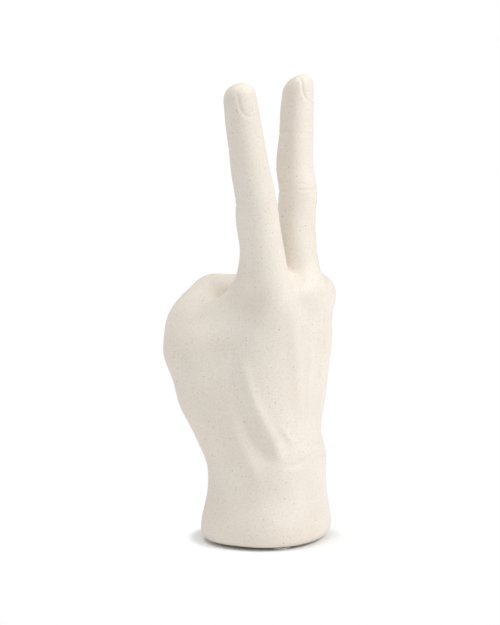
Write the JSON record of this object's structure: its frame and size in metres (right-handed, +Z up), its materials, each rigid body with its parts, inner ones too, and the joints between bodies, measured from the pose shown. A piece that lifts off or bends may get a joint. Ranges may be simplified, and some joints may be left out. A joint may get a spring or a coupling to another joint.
{
  "type": "hand sculpture ornament",
  "caption": "Ornament shaped as a hand standing on its wrist, index and middle fingers raised in a V, the other fingers folded under the thumb; hollow ceramic on small pads.",
  "frame": {"origin": "middle of the ornament's box, on the surface it stands on", "axes": "+Z up along the raised fingers, -Y out of the back of the hand, +Y out of the palm, -X to the thumb side"},
  "size_m": [0.1007, 0.0821, 0.2357],
  "materials": {
    "ceramic_body": "matte warm white stoneware with fine sand-coloured speckles",
    "foot_pads": "soft matte"
  },
  "bodies": {
    "root": {"ceramic_hand": "ceramic_body", "foot_pad_1": "foot_pads", "foot_pad_2": "foot_pads", "foot_pad_3": "foot_pads", "foot_pad_4": "foot_pads"}
  },
  "joints": []
}
